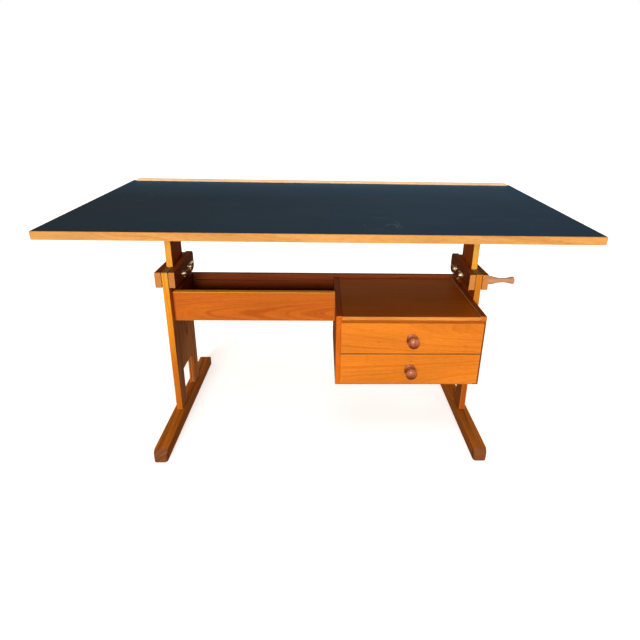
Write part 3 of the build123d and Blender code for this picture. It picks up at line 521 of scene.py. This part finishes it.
board_woods = {}
for index, (board, (kind, grain, pith, taper)) in enumerate(BOARDS.items()):
    low, high = board_corners(board)
    lips = [lip for key, faces in LIPS.items() if key in board for lip in faces]
    board_woods[board] = wood(f"{board}_wood", kind, grain, low, high, pith, taper, SEED_STEP * index, lips,
                              board in TILTED)
    finish_node(board, board_woods[board])

LAMINATE = laminate("laminate")
BRASS = brass("brass")
STEEL = steel("steel")
LINER = mottled("liner", (0.05, 0.025, 0.015), (0.015, 0.008, 0.005), 900.0)
GLIDE = mottled("glide", (0.05, 0.045, 0.04), (0.03, 0.028, 0.025), 500.0)
finish_node("top_laminate", LAMINATE, 0)
finish_node("cheek_liners", LINER, 0)
finish_node("foot_glides", GLIDE, 0)
for metal in ("carriage_bolts", "clamp_washers", "tilt_bolts", "pivot_nuts"):
    finish_node(metal, BRASS, METAL_ROUND)
for metal in ("carcass_screws", "clamp_tee_nut", "clamp_rod", "top_screws", "tilt_quadrant_left",
              "tilt_quadrant_right"):
    finish_node(metal, STEEL, 0)


# ---- Turned and cast pieces, made in finer meshes ----

def new_piece(name, mesh, material, body, node):
    """Object of a mesh that rides on a body and stands for a CAD node."""
    piece = bpy.data.objects.new(name, mesh)
    bpy.context.scene.collection.objects.link(piece)
    mesh.materials.clear()
    mesh.materials.append(material)
    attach(piece, body)
    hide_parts(node)
    return piece


def lathe(form, profile, origin=Vector((0, 0, 0)), axis=Vector((0, 0, 1)), segments=64):
    """Closed solid of revolution in a bmesh, from (distance along the axis, radius) points in metres.

    The first and last points lie on the axis.
    """
    axis = axis.normalized()
    side = axis.orthogonal().normalized()
    front = axis.cross(side)
    rings = []
    for distance, radius in profile[1:-1]:
        centre = origin + axis * distance
        ring = []
        for step in range(segments):
            angle = 2 * pi * step / segments
            ring.append(form.verts.new(centre + (side * cos(angle) + front * sin(angle)) * radius))
        rings.append(ring)
    first = form.verts.new(origin + axis * profile[0][0])
    last = form.verts.new(origin + axis * profile[-1][0])
    for step in range(segments):
        after = (step + 1) % segments
        form.faces.new((first, rings[0][after], rings[0][step]))
        form.faces.new((last, rings[-1][step], rings[-1][after]))
        for below, above in zip(rings, rings[1:]):
            form.faces.new((below[step], below[after], above[after], above[step]))


CURVE_STEPS = 6             # between two points of a curve


def smooth_curve(points):
    """Catmull-Rom curve through (distance, radius) points."""
    padded = [points[0], *points, points[-1]]
    curve = []
    for a, b, c, d in zip(padded, padded[1:], padded[2:], padded[3:]):
        for step in range(CURVE_STEPS):
            t = step / CURVE_STEPS
            curve.append(tuple(
                0.5 * (2 * q + (r - p) * t + (2 * p - 5 * q + 4 * r - s) * t * t
                       + (3 * q - p - 3 * r + s) * t ** 3)
                for p, q, r, s in zip(a, b, c, d)
            ))
    return [*curve, points[-1]]


def metres(points):
    """Profile in metres from one in millimetres."""
    return [(distance / 1000, radius / 1000) for distance, radius in points]


SHARP_ANGLE = radians(35)   # from which an edge stays sharp


def to_mesh(form, name):
    """Mesh of a finished bmesh, shaded smooth except at sharp edges."""
    bmesh.ops.recalc_face_normals(form, faces=form.faces)
    mesh = bpy.data.meshes.new(name)
    form.to_mesh(mesh)
    form.free()
    for polygon in mesh.polygons:
        polygon.use_smooth = True
    mesh.set_sharp_from_angle(angle=SHARP_ANGLE)
    return mesh


# Drawer knobs, (distance, radius) in millimetres: flange, hollowed neck, turned line, domed cap
KNOB_PROFILE = [
    (0, 0), (0, 16.2), (0.4, 16.9), (1.2, 17.2), (2.9, 17.2), (3.5, 16.9), (3.8, 16.3),
    *smooth_curve([(4.4, 15.2), (7, 12.6), (10.5, 10.9), (14, 10.4), (18, 11.1), (21.4, 12.9), (24, 15.4)]),
    (24.5, 15.9), (24.7, 15.8), (25.1, 16.4),
    *smooth_curve([(26, 17.1), (28.5, 17.7), (31, 17.2), (33.3, 15.3), (35.6, 11.8), (37.2, 7), (37.9, 2.6)]),
    (38, 0),
]
for level in ("upper", "lower"):
    drawer = f"drawer_{level}"
    knob = f"{drawer}_knob"
    knob_low, knob_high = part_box(knob)
    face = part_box(f"{drawer}_front")[0].y
    knob_middle = (knob_low + knob_high) / 2
    form = bmesh.new()
    lathe(form, metres(KNOB_PROFILE), Vector((knob_middle.x, face, knob_middle.z)), Vector((0, -1, 0)))
    mesh = to_mesh(form, f"turned_knob_{level}")
    new_piece(f"turned_knob_{level}", mesh, board_woods[knob], drawer, knob)

# Clamp handle, (distance, radius) in millimetres: collar with a turned line, waist, flared end
HANDLE_PROFILE = [
    (0, 0), (0, 12.2), (0.6, 13.0), (1.6, 13.3), (9, 13.5), (9.4, 13.1), (9.9, 13.1), (10.3, 13.5),
    (20.6, 13.6), (21.8, 13.3), (22.4, 12.6), (22.8, 12.5),
    *smooth_curve([(24, 12.5), (30, 11.2), (38, 9.2), (48, 8.0), (58, 7.5), (68, 8.1), (78, 9.9),
                   (86, 12.0)]),
    *smooth_curve([(89, 12.6), (91.4, 12.6), (93.2, 11.5), (94.2, 9.4)]),
    (94.5, 7.6), (94.5, 0),
]
handle_low, handle_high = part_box("clamp_handle")
handle_middle = (handle_low + handle_high) / 2
handle_base = Vector((handle_low.x, handle_middle.y, handle_middle.z))
form = bmesh.new()
lathe(form, metres(HANDLE_PROFILE), handle_base, Vector((1, 0, 0)))
mesh = to_mesh(form, "turned_handle")
new_piece("turned_handle", mesh, board_woods["clamp_handle"], "clamp_screw", "clamp_handle")


# Wing nuts, in millimetres: the hub's (distance, radius), and one wing's (way out, distance along the axis)
HUB_PROFILE = [(0, 0), (0, 8), (1.2, 8.3), (2.4, 8), (3.2, 7.1), (5.4, 6.4), (8, 5.9), (8.8, 5.4), (9.2, 4.6),
               (9.2, 0)]
WING_OUTLINE = [(3.5, 0.8), (9, 1.4), (13.5, 3), (17.2, 5.8), (19.4, 9.2), (19.9, 12.3), (18.4, 14.7),
                (15.8, 15), (13.6, 13.5), (11.8, 11.1), (9.4, 9.4), (6.4, 8.5), (3.5, 8.1)]
WING_HALF = 1.5             # half the wings' thickness


def wing_nut_mesh():
    """Cast wing nut along +Z with its wings along X, hub and wings run together by a remesh."""
    form = bmesh.new()
    lathe(form, metres(HUB_PROFILE), segments=32)
    wing = metres(WING_OUTLINE)
    for direction in (1, -1):
        rims = []
        for height in (-WING_HALF / 1000, WING_HALF / 1000):
            rims.append([form.verts.new((direction * out, height, up)) for out, up in wing])
        form.faces.new(rims[0])
        form.faces.new(rims[1][::-1])
        for step in range(len(wing)):
            after = (step + 1) % len(wing)
            form.faces.new((rims[0][step], rims[0][after], rims[1][after], rims[1][step]))
    rough_cast = bpy.data.objects.new("rough_cast", to_mesh(form, "rough_cast"))
    bpy.context.scene.collection.objects.link(rough_cast)
    remesh = rough_cast.modifiers.new("fuse", "REMESH")
    remesh.mode = "VOXEL"
    remesh.voxel_size = 0.0005
    smooth = rough_cast.modifiers.new("soften", "SMOOTH")
    smooth.factor = 0.5
    smooth.iterations = 6
    fused = bpy.data.meshes.new_from_object(rough_cast.evaluated_get(bpy.context.evaluated_depsgraph_get()))
    bpy.data.objects.remove(rough_cast)
    for polygon in fused.polygons:
        polygon.use_smooth = True
    return fused


# Angle at which each wing nut was left, as in the frame, in degrees from +Y towards +Z
WING_TURNS = {
    "wing_nut_left_front": 20, "wing_nut_left_rear": 58, "wing_nut_right_front": 110,
    "wing_nut_right_rear": 35, "tilt_nut_left": 80, "tilt_nut_right": 80,
}
CAST_NUT = wing_nut_mesh()
for nut, turn in WING_TURNS.items():
    nut_low, nut_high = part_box(nut)
    nut_middle = (nut_low + nut_high) / 2
    on_right = nut_middle.x > 0
    base = Vector((nut_high.x if on_right else nut_low.x, nut_middle.y, nut_middle.z))
    wing_way = Vector((0, cos(radians(turn)), sin(radians(turn))))
    nut_axis = Vector((-1 if on_right else 1, 0, 0))
    mesh = CAST_NUT.copy()
    mesh.name = f"cast_{nut}"
    frame_turn = Matrix((wing_way, nut_axis.cross(wing_way), nut_axis)).transposed().to_4x4()
    mesh.transform(Matrix.Translation(base) @ frame_turn)
    new_piece(f"cast_{nut}", mesh, BRASS, nut, nut)


# ---- Stage, light and camera ----

def flat_material(name, colour, glow):
    """Even, softly glowing material for the stage."""
    material, _, shader = new_material(name)
    shader.inputs["Base Color"].default_value = (*colour, 1.0)
    shader.inputs["Roughness"].default_value = 0.9
    shader.inputs["Specular IOR Level"].default_value = 0.1
    shader.inputs["Emission Color"].default_value = (1, 1, 1, 1)
    shader.inputs["Emission Strength"].default_value = glow
    return material


STAGE_RADIUS = 30.0
bpy.ops.mesh.primitive_circle_add(vertices=96, radius=STAGE_RADIUS, fill_type="NGON", location=(0, 0, 0))
floor = bpy.context.object
floor.name = "floor"
floor.data.materials.append(flat_material("floor", (0.85, 0.85, 0.85), 0.6))
floor.visible_diffuse = False
floor.visible_glossy = False
bpy.ops.mesh.primitive_uv_sphere_add(segments=48, ring_count=24, radius=STAGE_RADIUS, location=(0, 0, 0))
backdrop = bpy.context.object
backdrop.name = "backdrop"
backdrop.data.materials.append(flat_material("backdrop", (0, 0, 0), 1.0))
for ray in ("diffuse", "glossy", "transmission", "shadow", "volume_scatter"):
    setattr(backdrop, f"visible_{ray}", False)

world = bpy.data.worlds.new("world")
bpy.context.scene.world = world
world.use_nodes = True
background = world.node_tree.nodes["Background"]
background.inputs["Color"].default_value = (1, 0.72, 0.46, 1)
background.inputs["Strength"].default_value = 0.24


def sun(name, azimuth, elevation, strength, angle, colour=(1, 1, 1)):
    """Soft far light that comes from an azimuth, where 0 is the front and 90 the right, and an elevation."""
    light = bpy.data.lights.new(name, "SUN")
    light.energy = strength
    light.color = colour
    light.angle = radians(angle)
    lamp = bpy.data.objects.new(name, light)
    a, e = radians(azimuth), radians(elevation)
    towards = Vector((sin(a) * cos(e), -cos(a) * cos(e), sin(e)))
    lamp.rotation_euler = towards.to_track_quat("Z", "Y").to_euler()
    bpy.context.scene.collection.objects.link(lamp)


WARM = (1, 0.8, 0.55)
sun("front_light", -6, 13, 3.0, 20)
sun("top_light", 0, 72, 0.9, 40)
sun("back_light", 172, 50, 0.3, 40)
sun("left_light", -100, 25, 0.42, 40, WARM)
sun("right_light", 100, 25, 0.5, 40, WARM)

# Camera: place and turn in the row frame, in metres and radians
CAMERA_PLACE = Vector((-0.0074, -1.3854, 1.0566))
CAMERA_YAW = 0.032          # to the right of straight ahead
CAMERA_PITCH = -0.324
CAMERA_ROLL = -0.019
FOCAL = 0.6648              # focal length over the picture's width
SHIFT_X = -0.0225
SHIFT_Y = -0.0995
SENSOR = 36.0

camera_data = bpy.data.cameras.new("camera")
camera = bpy.data.objects.new("camera", camera_data)
bpy.context.scene.collection.objects.link(camera)
bpy.context.scene.camera = camera
ahead = Vector((
    sin(CAMERA_YAW) * cos(CAMERA_PITCH),
    cos(CAMERA_YAW) * cos(CAMERA_PITCH),
    sin(CAMERA_PITCH),
))
level_right = Vector((cos(CAMERA_YAW), -sin(CAMERA_YAW), 0))
level_down = ahead.cross(level_right)
right = level_right * cos(CAMERA_ROLL) + level_down * sin(CAMERA_ROLL)
down = level_down * cos(CAMERA_ROLL) - level_right * sin(CAMERA_ROLL)
camera_turn = Matrix((right, -down, -ahead)).transposed()
camera.matrix_world = Matrix.Translation(CAMERA_PLACE) @ camera_turn.to_4x4()
camera_data.sensor_width = SENSOR
camera_data.lens = FOCAL * SENSOR
camera_data.shift_x = SHIFT_X
camera_data.shift_y = SHIFT_Y
camera_data.clip_start = 0.05
camera_data.clip_end = 200

bpy.context.scene.view_settings.view_transform = "Standard"
bpy.context.scene.view_settings.look = "None"
